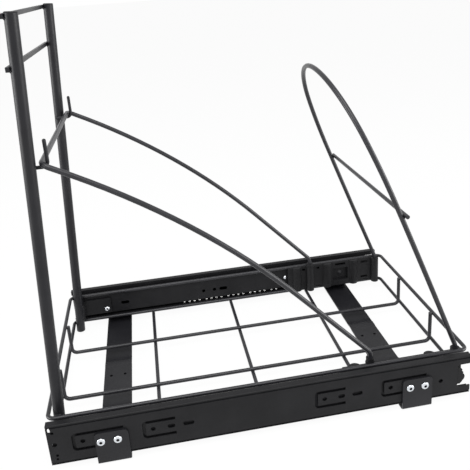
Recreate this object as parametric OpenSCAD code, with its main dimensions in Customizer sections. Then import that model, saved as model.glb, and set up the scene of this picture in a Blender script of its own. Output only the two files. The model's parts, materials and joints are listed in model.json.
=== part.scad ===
// Pull out bin frame: two floor straps, a pair of soft-close ball slides and a wire basket
// with front posts, a lift-out bail and a lift-out hoop.
// Millimetres. Z is up from the cabinet floor and the front of the frame is towards -Y.

/* [Slides] */
// Length of the outer slide members
rail_len = 508; // [470:1:600]
// Height of the outer slide members
rail_h = 54; // [52:0.5:64]
// Outside distance between the two slides
rail_span = 313; // [270:1:420]
// Height of the slides above the floor
rail_z = 8; // [6:0.5:20]
// Thickness of one closed slide
rail_t = 16; // [15:0.1:18]
// Sheet thickness of the outer members
outer_sheet = 1.5; // [1.2:0.1:2]
// Corner radius of the outer members
outer_r = 1.5; // [1.2:0.1:2]
// Sheet thickness of the middle members
mid_sheet = 1.2; // [1:0.1:1.5]
// Sheet thickness of the inner members
inner_sheet = 1.2; // [1:0.1:1.5]
// Length that the middle and inner members stop short at the rear
inner_short = 35; // [30:1:36]
// Distance that the middle and inner members start behind the front of the slide
inner_lead = 4.5; // [3:0.5:6]
// Ball diameter between outer and middle members
outer_ball_d = 4.6; // [4:0.1:5]
// Ball diameter between middle and inner members
inner_ball_d = 4.2; // [4:0.1:4.6]
// Running gap between the moving slide members
run_gap = 0.3; // [0.25:0.05:0.4]
// Sheet thickness of the ball cages
cage_sheet = 0.6; // [0.5:0.05:0.7]
// Front end of the ball cages, from the front of the slide
cage_start = 170; // [150:1:180]
// Length of the ball cages
cage_len = 172; // [140:1:175]
// First ball, from the front end of its cage
ball_lead = 7; // [5:0.5:12]
// Distance between balls in one group
ball_pitch = 8.3; // [6:0.1:10]
// Distance between groups of balls
ball_group = 36.7; // [34:0.1:40]
// Balls in one group
group_count = 4; // [2:1:4]
// Balls in one row
ball_count = 18; // [8:1:18]

/* [Slide web] */
// Height over the lanced slots
lance_h = 24; // [20:0.5:26]
// Width of the lanced slots
lance_w = 3.8; // [2.5:0.1:4.2]
// Length of the lanced slots behind the straps
lance_long = 58; // [45:1:62]
// Length of the other lanced slots
lance_short = 38; // [30:1:42]
// Diameter of the wall screw holes
wall_hole_d = 5.6; // [4.5:0.1:6]
// Length of the oval wall slots
oval_len = 13; // [10:0.5:14]
// Depth of the rear notch in the web
notch_len = 17; // [12:0.5:20]
// Height of the rear notch in the web
notch_h = 32; // [26:0.5:36]
// Width of the rolled grooves along the top and the bottom of the web
groove_w = 2.2; // [1.2:0.1:2.6]
// Depth of the rolled grooves
groove_d = 0.9; // [0.5:0.1:1]

/* [Straps] */
// Width of the floor straps
strap_w = 38; // [30:1:50]
// Sheet thickness of the floor straps
strap_t = 2.2; // [1.5:0.1:3]
// Height of the turned-up tabs above their screws
tab_over = 12; // [10:0.5:14]
// Corner radius of the tabs
tab_r = 5; // [2:0.5:8]
// Corner radius at the foot of the tabs
tab_foot_r = 2.5; // [1:0.5:3]
// Distance of the strap centres from the slide ends
strap_inset = 70; // [60:1:80]
// Diameter of the floor screw holes
floor_hole_d = 4.2; // [4:0.1:6]
// Distance between the two floor screw holes
floor_hole_pitch = 19; // [14:0.5:22]
// Height of the stiffening swage
swage_h = 0.8; // [0.4:0.1:1.2]
// Width of the stiffening swage
swage_w = 13; // [8:0.5:20]
// Place of the stiffening swage across the strap
swage_x = -27; // [-60:1:-20]

/* [Screws] */
// Thread diameter of the strap screws
screw_d = 5; // [4:0.1:6]
// Head diameter of the strap screws
screw_head_d = 9.5; // [8:0.5:12]
// Head height of the strap screws
screw_head_h = 2.4; // [1.8:0.1:3]
// Distance between the two screws of a tab
screw_pitch = 19; // [16:0.5:20]
// Distance of the strap screws below the middle of the slide
screw_drop = 4; // [2:0.5:7]
// Distance of the front strap screws ahead of the middle of their strap
front_screw_lead = 3; // [0:0.5:4]
// Thread diameter of the basket screws
small_d = 4; // [3:0.1:4.5]
// Head diameter of the basket screws
small_head_d = 8; // [7:0.5:9]
// Clearance of a screw in its hole, on the diameter
screw_clear = 0.4; // [0.2:0.1:0.8]

/* [Basket] */
// Diameter of the basket wires
wire_d = 5; // [4:0.1:6]
// Upper rim wire centre, below the top of the slide
rim_drop = 5; // [4.6:0.1:5.4]
// Lower rim wire centre, above the bottom of the slide
rim_lift = 6.2; // [5.5:0.1:7]
// Corner radius of the rim wires
rim_r = 8; // [7:0.5:9]
// Overhang of the rim behind the slides
rim_over = 7; // [4:0.5:10]
// Overhang of the rim in front of the slides
rim_lead = 2.5; // [2:0.5:4]
// Distance between the two long wires
long_pitch = 103; // [70:1:140]
// Bend radius of the turned-up wire ends
wire_bend = 7; // [5:0.5:12]
// Front cross wire, from the front of the slide
cross_1 = 125; // [100:1:150]
// Middle cross wire, from the front of the slide
cross_2 = 253; // [200:1:300]
// Rear cross wire, from the rear of the slide
cross_3_inset = 126; // [110:1:170]
// Depth that welded wires sink into each other
weld = 0.2; // [0.1:0.05:0.4]

/* [Posts] */
// Diameter of the posts
post_d = 13; // [12:0.5:14]
// Wall thickness of the posts
post_wall = 1.5; // [1:0.1:2.5]
// Height of the top of the posts
post_top = 501; // [470:1:580]
// Height of the bottom of the posts
post_bottom = 4; // [3:0.5:6]
// Post centres at their feet, from the front of the slide
post_y = 9; // [9:0.5:11]
// Backward lean of the posts from upright
post_lean = 3.4; // [0:0.1:4]
// Thickness of the bars across the posts
bar_t = 4; // [3:0.5:6]
// Height of the bars across the posts
bar_h = 5; // [4:0.5:8]
// Door bar centre, below the top of the posts
door_bar_drop = 51; // [40:1:70]
// Head height of the post caps
cap_h = 1.2; // [0.8:0.1:2]
// Length of a post cap inside the post
cap_plug = 10; // [6:0.5:14]
// Rod diameter of the hooks
hook_d = 4; // [3:0.1:6]
// Height of the hook tips above the bail
hook_tip = 22; // [14:1:30]
// Bend radius of the hooks
hook_bend = 6; // [4:0.5:8]
// Sheet thickness of the post plates
plate_t = 2.5; // [2:0.1:3]
// Length of the post plates along the slide
plate_len = 43; // [38:1:46]
// Height of the post plates
plate_h = 26; // [22:0.5:28]

/* [Bail and hoop] */
// Rod diameter of the bail and the hoop
rod_d = 6; // [5:0.1:6.5]
// Rod centres of the bail arms and hoop legs, from the inner face of the slide
rod_inset = 9.6; // [9.4:0.1:11]
// Height of the bail in the hooks
bail_z = 354; // [310:1:390]
// Bail sockets, from the rear of the slide
bail_inset = 120; // [118:1:124]
// Lean of the bail arms from upright where they leave the sockets
bail_lean = 43.5; // [42:0.5:46]
// Straight length of the bail arms above that bend
arm_line = 120; // [100:1:140]
// Bend radius at the sockets
rod_bend = 14; // [10:0.5:20]
// Corner radius at the front of the bail
bail_corner = 9; // [7:0.5:9.5]
// Height of the bail sockets above the brackets
bail_sleeve = 6; // [3:0.5:8]
// Hoop sockets, from the rear of the slide
hoop_inset = 7.5; // [7:0.5:9]
// Forward lean of the hoop from upright
hoop_lean = 22; // [18:0.1:28]
// Height of the hoop along its lean
hoop_rise = 373; // [350:1:400]
// Straight part of the hoop legs
hoop_leg = 30; // [24:1:50]
// Radius of the long side curves of the hoop
hoop_side_r = 3000; // [2600:50:3400]
// Turn of the long side curves of the hoop
hoop_side_turn = 3.6; // [3.2:0.1:4]
// Turn of the shoulder curves of the hoop
hoop_shoulder_turn = 18; // [16:0.5:20]
// Hoop cross wire, along the lean
hoop_cross = 197; // [150:1:210]
// Depth of a rod in its socket
socket_depth = 22; // [18:0.5:24]
// Gap round a rod in its socket
socket_gap = 0.3; // [0.3:0.05:0.5]

/* [Socket brackets] */
// Front end of the brackets, ahead of the bail sockets
bracket_lead = 37; // [34:0.5:38]
// Rear end of the brackets, behind the hoop sockets
bracket_tail = 7; // [6:0.5:8]
// Bottom of the brackets, above the bottom of the slide
bracket_lift = 6.5; // [5.5:0.5:8]
// Top of the brackets, below the top of the slide
bracket_drop = 4.5; // [4:0.5:5]
// Sheet thickness of the brackets
bracket_t = 2.6; // [2:0.1:3]
// Radius of the bracket lobes at the sockets
lobe_r = 6; // [5.6:0.1:6.6]
// Radius of the shallow waves between the sockets
wave_r = 8; // [7:0.5:9]
// Height of the shallow waves
wave_out = 4.2; // [3:0.1:5]
// Distance of the first wave ahead of the bail sockets
lobe_pitch = 21.5; // [18:0.5:24]
// Screw pocket centre, from the rear of the slide
pocket_inset = 67; // [65:0.5:69]
// Length of the screw pocket
pocket_len = 30; // [26:0.5:32]
// Height of the screw pocket
pocket_h = 26; // [22:0.5:27]
// Thickness of the pocket floor
pocket_t = 2.5; // [2:0.1:3]

/* [Hidden] */
curve_fn = 64;
long_fn = 720;
long_r = 100;
rod_collar = 0.02;
collar_len = 0.6;
cut = 1;
steel = [0.17, 0.17, 0.18];
zinc = [0.86, 0.87, 0.88];
plastic = [0.06, 0.06, 0.065];
total_len = rail_len + rim_over + rim_lead;
y_front = rim_lead - total_len / 2;
inner_end = rail_len - inner_short;
x_out = rail_span / 2;
x_in = x_out - rail_t;
z_mid = rail_z + rail_h / 2;
half_h = rail_h / 2;
lip = 0.8;
mid_half = half_h - outer_sheet - outer_ball_d - 2 * run_gap;
inner_half = mid_half - mid_sheet - inner_ball_d - 2 * run_gap;
outer_cage_u = outer_sheet + run_gap;
mid_u = outer_cage_u + cage_sheet + run_gap;
inner_cage_u = mid_u + mid_sheet + run_gap;
inner_u = inner_cage_u + cage_sheet + run_gap;
cage_past = 1.2;
outer_ball_u = outer_cage_u + cage_sheet + outer_ball_d / 2 + 0.2;
flange_w = outer_ball_u + outer_ball_d / 2 + run_gap + lip;
lip_drop = outer_ball_d + run_gap;
inner_ball_u = rail_t - inner_ball_d / 2 - 1.1;
inner_lip = 0.9;
inner_lip_top = mid_half - mid_sheet - run_gap;
outer_ball_z = half_h - outer_sheet - run_gap - outer_ball_d / 2;
inner_ball_z = mid_half - mid_sheet - run_gap - inner_ball_d / 2;
ball_hole_gap = 0.2;
lance_edge_r = 5;
front_lance = 26;
second_lance = 105;
third_lance = rail_len - 199;
rear_lance = rail_len - 116;
tongue_hole = 12;
tongue_pitch = 21;
oval_lead = 53;
strap_out = x_out + strap_t;
strap_bend_r = strap_t + 1;
screw_z = z_mid - screw_drop;
tab_h = screw_z + tab_over;
front_strap_y = strap_inset;
rear_strap_y = rail_len - strap_inset;
front_screw_y = front_strap_y - front_screw_lead;
rear_screw_y = rear_strap_y;
rim_x = x_in - wire_d / 2;
rim_front = wire_d / 2 - rim_lead;
rim_rear = rail_len + rim_over - wire_d / 2;
rim_z = rail_z + rim_lift;
rim_top_z = rail_z + rail_h - rim_drop;
cross_3 = rail_len - cross_3_inset;
wire_step = wire_d - weld;
cross_z = rim_z - wire_step;
leg_top = rim_top_z + wire_d / 2 - 0.6;
post_x = rim_x - wire_d / 2 - post_d / 2 + weld;
post_len = (post_top - post_bottom) / cos(post_lean);
post_half = post_d / (2 * cos(post_lean));
rod_x = x_in - rod_inset;
rod_gap = 0.4;
bail_y = rail_len - bail_inset;
hoop_y = rail_len - hoop_inset;
pocket_y = rail_len - pocket_inset;
bracket_start = bail_y - bracket_lead;
bracket_end = hoop_y + bracket_tail;
bracket_z = rail_z + bracket_lift;
bracket_h = rail_h - bracket_lift - bracket_drop;
lift_room = 25 * tan(post_lean);
bail_front = post_at(bail_z) + post_half + rod_gap + lift_room + rod_d / 2;
hook_x = post_x - post_d / 2 - hook_d / 2 + weld;
hook_z = bail_z - rod_d / 2 - hook_d / 2 - run_gap;
hook_back = bail_front + rod_d / 2 + rod_gap + hook_d / 2;
plate_front = post_at(z_mid) + post_half - weld;
plate_screw_y = plate_front + plate_len - 7;
plate_screw_z = z_mid - 6;
bracket_x = rim_x - wire_d / 2 + weld / 2;
socket_top = bracket_z + bracket_h;
socket_floor = socket_top - socket_depth;
rod_end = socket_floor + run_gap;
bail_top = socket_top + bail_sleeve;
sleeve_r = lobe_r - 0.8;
bail_end = bail_top - socket_depth + run_gap;
wave_half = sqrt(wave_r * wave_r - (wave_r - wave_out) * (wave_r - wave_out));
wave_x = bracket_x - bracket_t - wave_out + wave_r;
wave_first = bail_y - lobe_pitch;
wave_second = pocket_y - pocket_len / 2 - wave_half - 1;
wave_third = pocket_y + pocket_len / 2 + wave_half + 1;
rivet_y = bracket_start - 3;
rivet_z = z_mid + 3;
bail_sit = bail_top + 2;
hoop_sit = socket_top + 3;
bend_fwd = rod_bend * (1 - cos(bail_lean));
bend_up = rod_bend * sin(bail_lean);
arm_y0 = bail_y - bend_fwd - arm_line * sin(bail_lean);
arm_z0 = bail_sit + bend_up + arm_line * cos(bail_lean);
corner_slope = arm_slope(60, 8);
arm_y1 = bail_front + bail_corner * sin(corner_slope);
arm_z1 = bail_z - bail_corner * cos(corner_slope);
arm_chord = norm([arm_y0 - arm_y1, arm_z1 - arm_z0]);
arm_turn = 2 * (atan2(arm_y0 - arm_y1, arm_z1 - arm_z0) - bail_lean);
arm_r = arm_chord / (2 * sin(arm_turn / 2));
hoop_top_turn = 90 - hoop_side_turn - hoop_shoulder_turn;
shoulder_end = hoop_side_turn + hoop_shoulder_turn;
hoop_base = rod_bend * tan(hoop_lean / 2);
side_in = hoop_side_r * (1 - cos(hoop_side_turn));
side_up = hoop_side_r * sin(hoop_side_turn);
crown_in = rod_x - side_in;
crown_up = hoop_rise - hoop_leg - side_up;
k_a = cos(hoop_side_turn) - cos(shoulder_end);
k_b = cos(shoulder_end);
k_c = sin(shoulder_end) - sin(hoop_side_turn);
k_d = 1 - sin(shoulder_end);
hoop_shoulder_r = (crown_in * k_d - crown_up * k_b) / (k_a * k_d - k_c * k_b);
hoop_top_r = (crown_up - hoop_shoulder_r * k_c) / k_d;
cross_turn = asin((hoop_cross - hoop_leg) / hoop_side_r);
hoop_cross_x = rod_x - hoop_side_r * (1 - cos(cross_turn));

// Place of something measured from the front end of the slides
function at(y) = y_front + y;

// Post centre at a height, measured from the front end of the slides
function post_at(z) = post_y + (z - post_bottom) * tan(post_lean);

// Slope from upright at the front end of a bail arm, found in n rounds from a first slope
function arm_slope(slope, n) = n == 0 ? slope : arm_slope(2 * atan2(
  arm_y0 - bail_front - bail_corner * sin(slope),
  bail_z - bail_corner * cos(slope) - arm_z0) - bail_lean, n - 1);

// Place of ball i in its row, measured from the front end of the slides
function ball_at(i) = cage_start + ball_lead
  + ball_group * floor(i / group_count) + ball_pitch * (i % group_count);

// Right side as drawn, left side mirrored
module side(right) {
  if (right) children();
  else mirror([1, 0, 0]) children();
}

// Section in X and Z, drawn out along Y
module along_y(start, length) {
  translate([0, start + length, 0]) rotate([90, 0, 0]) linear_extrude(height = length) children();
}

// Outline in Y and Z, drawn out along X
module along_x(start, length) {
  translate([start, 0, 0]) rotate([90, 0, 90]) linear_extrude(height = length) children();
}

// Rectangle with round corners, from x = 0 and centred on y
module round_rect(l, h, r) {
  translate([r, -h / 2]) square([l - 2 * r, h]);
  translate([0, r - h / 2]) square([l, h - 2 * r]);
  for (x = [r, l - r]) {
    for (y = [r - h / 2, h / 2 - r]) translate([x, y]) circle(r = r, $fn = curve_fn);
  }
}

// Frame of a post: origin at its foot, Z along the post
module leaning() {
  translate([0, at(post_y), post_bottom]) rotate([-post_lean, 0, 0]) children();
}

// Bent wire: each step is a straight length, a left bend or a roll about its heading.
// A collar hides each joint between steps, and the far end too where it joins another wire.
module wire(steps, d, collar = 0, joined = true, i = 0) {
  kind = i < len(steps) ? steps[i][0] : "end";
  if (collar > 0 && i > 0 && kind != "roll" && (kind != "end" || joined)) {
    rotate([0, 90, 0]) cylinder(d = d + collar, h = collar_len, center = true, $fn = curve_fn);
  }
  if (kind == "line") {
    rotate([0, 90, 0]) cylinder(d = d, h = steps[i][1], $fn = curve_fn);
    translate([steps[i][1], 0, 0]) wire(steps, d, collar, joined, i + 1);
  }
  if (kind == "bend") {
    r = steps[i][1];
    a = steps[i][2];
    translate([0, r, 0]) rotate([0, 0, -90]) rotate_extrude(angle = a, $fn = r > long_r ? long_fn : curve_fn)
      translate([r, 0]) circle(d = d, $fn = curve_fn);
    translate([r * sin(a), r * (1 - cos(a)), 0]) rotate([0, 0, a]) wire(steps, d, collar, joined, i + 1);
  }
  if (kind == "roll") rotate([steps[i][1], 0, 0]) wire(steps, d, collar, joined, i + 1);
}

// Floor strap with turned-up ends
module strap(y, screw_y) {
  x_bend = strap_out - strap_bend_r;
  difference() {
    intersection() {
      along_y(at(y) - strap_w / 2, strap_w) strap_section(x_bend);
      along_x(-strap_out - cut, 2 * strap_out + 2 * cut) translate([at(y), 0]) strap_outline();
    }
    for (e = [0, 1]) mirror([e, 0, 0]) {
      for (s = [0, 1]) along_x(x_bend, strap_bend_r + cut)
        translate([at(y) + (1 - 2 * s) * strap_w / 2, 0]) mirror([s, 0]) foot_corner();
    }
    for (s = [-1, 1]) {
      translate([0, at(y) + s * floor_hole_pitch / 2, -cut])
        cylinder(d = floor_hole_d, h = strap_t + 2 * cut, $fn = curve_fn);
      for (e = [-1, 1]) {
        translate([e * (x_out + strap_t / 2), at(screw_y) + s * screw_pitch / 2, screw_z])
          rotate([0, 90, 0])
          cylinder(d = screw_d + screw_clear, h = strap_t + 2 * cut, center = true, $fn = curve_fn);
      }
    }
  }
}

// What a round corner at the foot of a tab leaves out
module foot_corner() {
  difference() {
    translate([-tab_foot_r, -cut]) square(tab_foot_r + cut);
    translate([-tab_foot_r, tab_foot_r]) circle(r = tab_foot_r, $fn = curve_fn);
  }
}

module strap_section(x_bend) {
  difference() {
    translate([-x_bend, 0]) square([2 * x_bend, strap_t]);
    translate([swage_x - swage_w / 2, -cut]) square([swage_w, strap_t + 2 * cut]);
  }
  polygon([for (p = [[-1, 0, 0], [-0.7, 0, 1], [0.7, 0, 1], [1, 0, 0], [1, 1, 0], [0.7, 1, 1],
    [-0.7, 1, 1], [-1, 1, 0]]) [swage_x + p[0] * swage_w / 2, p[1] * strap_t + p[2] * swage_h]]);
  for (e = [0, 1]) mirror([e, 0]) {
    translate([x_out, strap_bend_r]) square([strap_t, tab_h - strap_bend_r]);
    translate([x_bend, strap_bend_r]) intersection() {
      difference() {
        circle(r = strap_bend_r, $fn = curve_fn);
        circle(r = strap_bend_r - strap_t, $fn = curve_fn);
      }
      translate([0, -strap_bend_r]) square(strap_bend_r);
    }
  }
}

module strap_outline() {
  translate([-strap_w / 2, -cut]) square([strap_w, tab_h - tab_r + cut]);
  translate([tab_r - strap_w / 2, 0]) square([strap_w - 2 * tab_r, tab_h]);
  for (s = [-1, 1]) translate([s * (strap_w / 2 - tab_r), tab_h - tab_r]) circle(r = tab_r, $fn = curve_fn);
}

module front_strap() {
  color(steel) strap(front_strap_y, front_screw_y);
}

module rear_strap() {
  color(steel) strap(rear_strap_y, rear_screw_y);
}

// Outer slide member: C channel with rounded corners, lanced web and notched rear end
module outer_rail() {
  difference() {
    along_y(at(0), rail_len) outer_section();
    along_x(x_out - outer_sheet - cut, outer_sheet + 2 * cut) translate([at(0), z_mid]) web_cuts();
    for (y = [front_screw_y, rear_screw_y]) {
      for (s = [-1, 1]) translate([x_out - outer_sheet / 2, at(y) + s * screw_pitch / 2, screw_z])
        rotate([0, 90, 0]) cylinder(d = screw_d + 0.1, h = outer_sheet + 2 * cut, center = true, $fn = curve_fn);
    }
  }
}

module outer_section() {
  difference() {
    union() {
      translate([x_out - flange_w, rail_z]) square([flange_w - outer_r, rail_h]);
      translate([x_out - 2 * outer_r, rail_z + outer_r]) square([2 * outer_r, rail_h - 2 * outer_r]);
      for (z = [rail_z + outer_r, rail_z + rail_h - outer_r]) {
        translate([x_out - outer_r, z]) circle(r = outer_r, $fn = curve_fn);
      }
    }
    translate([x_out - flange_w - cut, rail_z + outer_sheet])
      square([flange_w - outer_sheet + cut, rail_h - 2 * outer_sheet]);
    for (z = [rail_z + outer_r, rail_z + rail_h - outer_r - groove_w]) {
      translate([x_out - groove_d, z]) square([groove_d + cut, groove_w]);
    }
  }
  for (z = [rail_z + outer_sheet - 0.1, rail_z + rail_h - outer_sheet - lip_drop]) {
    translate([x_out - flange_w, z]) square([lip, lip_drop + 0.1]);
  }
}

module web_cuts() {
  translate([front_lance, 0]) lance(lance_long);
  translate([second_lance, 0]) lance(lance_short);
  translate([third_lance, 0]) lance(lance_short);
  translate([rear_lance, 0]) lance(lance_long);
  translate([front_lance + tongue_hole, 0]) circle(d = wall_hole_d, $fn = curve_fn);
  translate([rear_lance + tongue_hole, 0]) circle(d = wall_hole_d, $fn = curve_fn);
  for (y = [second_lance, third_lance]) {
    translate([y + tongue_hole, 0]) circle(d = wall_hole_d, $fn = curve_fn);
    translate([y + tongue_hole + tongue_pitch - oval_len / 3, 0])
      round_rect(oval_len * 2 / 3, wall_hole_d, wall_hole_d / 2 - 0.01);
    translate([y + oval_lead - oval_len / 2, 0]) round_rect(oval_len, wall_hole_d, wall_hole_d / 2 - 0.01);
  }
  translate([rail_len - 39, -3]) circle(d = wall_hole_d, $fn = curve_fn);
  translate([7, 1]) circle(d = wall_hole_d, $fn = curve_fn);
  translate([7.5, 8 - half_h]) circle(d = 3, $fn = curve_fn);
  translate([8, 13 - half_h]) circle(d = 3.4, $fn = curve_fn);
  translate([6.5, half_h - 10]) circle(d = 3.6, $fn = curve_fn);
  translate([1.8, mid_half + 0.4]) round_rect(3, 5.6, 1.4);
  translate([rail_len - notch_len, 0]) round_rect(notch_len + 2 * lance_edge_r, notch_h, 3);
}

module lance(length) {
  difference() {
    round_rect(length + 2 * lance_edge_r, lance_h, lance_edge_r);
    translate([lance_w, 0])
      round_rect(length + 2 * lance_edge_r, lance_h - 2 * lance_w, lance_edge_r - lance_w);
    translate([length, -lance_h]) square([4 * lance_edge_r, 2 * lance_h]);
  }
}

module left_outer_rail() {
  color(steel) side(false) outer_rail();
}

module right_outer_rail() {
  color(steel) side(true) outer_rail();
}

// Truss-head screw on X, head outwards, with a hexagon socket
module strap_screw() {
  dome_r = (screw_head_d * screw_head_d / 4 + screw_head_h * screw_head_h) / (2 * screw_head_h);
  rotate([0, 90, 0]) difference() {
    union() {
      translate([0, 0, -strap_t - outer_sheet]) cylinder(d = screw_d, h = strap_t + outer_sheet, $fn = curve_fn);
      intersection() {
        cylinder(d = screw_head_d, h = screw_head_h, $fn = curve_fn);
        translate([0, 0, screw_head_h - dome_r]) sphere(r = dome_r, $fn = curve_fn);
      }
    }
    translate([0, 0, screw_head_h - 2]) cylinder(d = screw_d * 0.64, h = 2 + cut, $fn = 6);
  }
}

module strap_screws() {
  color(zinc) for (right = [false, true]) side(right) {
    for (y = [front_screw_y, rear_screw_y]) {
      for (s = [-1, 1]) translate([strap_out, at(y) + s * screw_pitch / 2, screw_z]) strap_screw();
    }
  }
}

// Soft-close cartridge at the rear end of the slide
module damper() {
  start = inner_end + 4;
  length = rail_len - notch_len + 3 - start;
  height = notch_h - 8;
  depth = flange_w - outer_sheet - lip;
  difference() {
    translate([x_out - outer_sheet - depth, at(start), z_mid - height / 2]) cube([depth, length, height]);
    translate([x_out - outer_sheet - depth - cut, at(start) - cut, z_mid - 4])
      cube([depth / 2 + cut, length - 4 + cut, 8]);
    for (z = [z_mid - height / 2 - cut, z_mid + height / 2 - 3]) {
      translate([x_out - outer_sheet - 3, at(start + length - 5), z]) cube([3 + cut, 5 + cut, 3 + cut]);
    }
  }
  translate([x_out - outer_sheet - 3, at(start + 2), z_mid]) rotate([-90, 0, 0])
    cylinder(d = 5, h = length - 4, $fn = curve_fn);
  nose = notch_h / 2 - 4;
  along_x(x_out - outer_sheet - 2, outer_sheet + 1.6) translate([at(rail_len - notch_len + 0.4), z_mid])
    polygon([[0, -nose], [3.4, -nose], [6, -0.75 * nose], [9.4, -0.2 * nose], [8.6, 0.05 * nose], [6.8, 0.15 * nose],
      [7.4, 0.35 * nose], [5.4, 0.5 * nose], [5.8, 0.7 * nose], [3.4, 0.85 * nose], [2.8, nose], [0, nose]]);
}

module left_damper() {
  color(plastic) side(false) damper();
}

module right_damper() {
  color(plastic) side(true) damper();
}

// Ball cage: folded strip with one row of holes above and one below
module cage(u, reach, z, ball_u, ball_d) {
  x_web = x_out - u;
  difference() {
    along_y(at(cage_start), cage_len) {
      translate([x_web - cage_sheet, z_mid - z - cage_sheet / 2]) square([cage_sheet, 2 * z + cage_sheet]);
      for (s = [-1, 1]) {
        translate([x_web - reach, z_mid + s * z - cage_sheet / 2]) square([reach, cage_sheet]);
      }
    }
    for (i = [0 : ball_count - 1]) {
      for (s = [-1, 1]) translate([x_out - ball_u, at(ball_at(i)), z_mid + s * z])
        cylinder(d = ball_d + ball_hole_gap, h = 3 * cage_sheet, center = true, $fn = curve_fn);
    }
  }
}

module ball_rows(z, ball_u, ball_d) {
  for (right = [false, true]) side(right) {
    for (i = [0 : ball_count - 1]) {
      for (s = [-1, 1]) translate([x_out - ball_u, at(ball_at(i)), z_mid + s * z])
        sphere(d = ball_d, $fn = curve_fn);
    }
  }
}

module outer_cage() {
  cage(outer_cage_u, outer_ball_u + cage_past - outer_cage_u, outer_ball_z, outer_ball_u, outer_ball_d);
}

module left_outer_cage() {
  color(zinc) side(false) outer_cage();
}

module right_outer_cage() {
  color(zinc) side(true) outer_cage();
}

module outer_balls() {
  color(zinc) ball_rows(outer_ball_z, outer_ball_u, outer_ball_d);
}

// Middle slide member: channel open to the basket
module middle_rail() {
  along_y(at(inner_lead), inner_end - inner_lead) difference() {
    translate([x_in + 1.4, z_mid - mid_half]) square([x_out - mid_u - x_in - 1.4, 2 * mid_half]);
    translate([x_in, z_mid - mid_half + mid_sheet])
      square([x_out - mid_u - mid_sheet - x_in, 2 * (mid_half - mid_sheet)]);
  }
}

module left_middle_rail() {
  color(steel) side(false) middle_rail();
}

module right_middle_rail() {
  color(steel) side(true) middle_rail();
}

module inner_cage() {
  cage(inner_cage_u, inner_ball_u + cage_past - inner_cage_u, inner_ball_z, inner_ball_u, inner_ball_d);
}

module left_inner_cage() {
  color(zinc) side(false) inner_cage();
}

module right_inner_cage() {
  color(zinc) side(true) inner_cage();
}

module inner_balls() {
  color(zinc) ball_rows(inner_ball_z, inner_ball_u, inner_ball_d);
}

// Inner slide member: channel with its web towards the basket
module inner_rail() {
  difference() {
    along_y(at(inner_lead), inner_end - inner_lead) {
      difference() {
        translate([x_in, z_mid - inner_half]) square([x_out - inner_u - x_in, 2 * inner_half]);
        translate([x_in + inner_sheet, z_mid - inner_half + inner_sheet])
          square([rail_t, 2 * (inner_half - inner_sheet)]);
      }
      translate([x_in, z_mid + inner_half - inner_lip])
        square([inner_lip, inner_lip_top - inner_half + inner_lip]);
    }
    along_x(x_in - cut, inner_sheet + 2 * cut) translate([at(0), z_mid]) {
      for (y = [210, 228]) translate([y, 0]) circle(d = wall_hole_d, $fn = curve_fn);
      translate([236, 0]) round_rect(oval_len, wall_hole_d, wall_hole_d / 2 - 0.01);
      translate([76, 0]) round_rect(oval_len, wall_hole_d, wall_hole_d / 2 - 0.01);
      translate([plate_screw_y, plate_screw_z - z_mid]) circle(d = small_d + 0.1, $fn = curve_fn);
      translate([pocket_y, 0]) circle(d = small_d + 0.1, $fn = curve_fn);
      translate([rivet_y, rivet_z - z_mid]) circle(d = small_d + 0.1, $fn = curve_fn);
    }
  }
}

module left_inner_rail() {
  color(steel) side(false) inner_rail();
}

module right_inner_rail() {
  color(steel) side(true) inner_rail();
}

// Round-headed fastener on X, head towards the basket
module inside_fastener(d, head_d, head_h, grip) {
  dome_r = (head_d * head_d / 4 + head_h * head_h) / (2 * head_h);
  rotate([0, -90, 0]) {
    translate([0, 0, -grip]) cylinder(d = d, h = grip, $fn = curve_fn);
    intersection() {
      cylinder(d = head_d, h = head_h, $fn = curve_fn);
      translate([0, 0, head_h - dome_r]) sphere(r = dome_r, $fn = curve_fn);
    }
  }
}

module rail_rivets() {
  color(zinc) for (right = [false, true]) side(right) {
    translate([x_in, at(rivet_y), rivet_z]) inside_fastener(small_d, small_head_d - 2, 1.4, inner_sheet + 1);
  }
}

// Closed rim wire with round corners
module rim(z) {
  cross = rim_x - rim_r;
  length = rim_rear - rim_front - 2 * rim_r;
  translate([0, at(rim_front), z]) wire([["line", cross], ["bend", rim_r, 90], ["line", length],
    ["bend", rim_r, 90], ["line", 2 * cross], ["bend", rim_r, 90], ["line", length],
    ["bend", rim_r, 90], ["line", cross]], wire_d);
}

module upper_rim_wire() {
  color(steel) rim(rim_top_z);
}

module lower_rim_wire() {
  color(steel) rim(rim_z);
}

// Wire with both ends turned up
module staple(length, z) {
  leg = leg_top - z - wire_bend;
  wire([["line", leg], ["bend", wire_bend, 90], ["line", length - 2 * wire_bend],
    ["bend", wire_bend, 90], ["line", leg]], wire_d);
}

module long_wire() {
  start = rim_front + wire_step;
  translate([long_pitch / 2, at(start), leg_top]) rotate([0, 90, 0])
    staple(rim_rear - rim_front - 2 * wire_step, rim_z);
}

module left_long_wire() {
  color(steel) side(false) long_wire();
}

module right_long_wire() {
  color(steel) side(true) long_wire();
}

// Straight wire under the lower rim
module cross_wire(y) {
  translate([0, at(y), cross_z]) rotate([0, 90, 0])
    cylinder(d = wire_d, h = 2 * rim_x + 2, center = true, $fn = curve_fn);
}

module front_cross_wire() {
  color(steel) cross_wire(cross_1);
}

module middle_cross_wire() {
  color(steel) cross_wire(cross_2);
}

module rear_cross_wire() {
  color(steel) cross_wire(cross_3);
}

// Tube post at the front of the basket
module post() {
  leaning() translate([post_x, 0, 0]) difference() {
    cylinder(d = post_d, h = post_len, $fn = curve_fn);
    translate([0, 0, -cut]) cylinder(d = post_d - 2 * post_wall, h = post_len + 2 * cut, $fn = curve_fn);
  }
}

module left_post() {
  color(steel) side(false) post();
}

module right_post() {
  color(steel) side(true) post();
}

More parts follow.
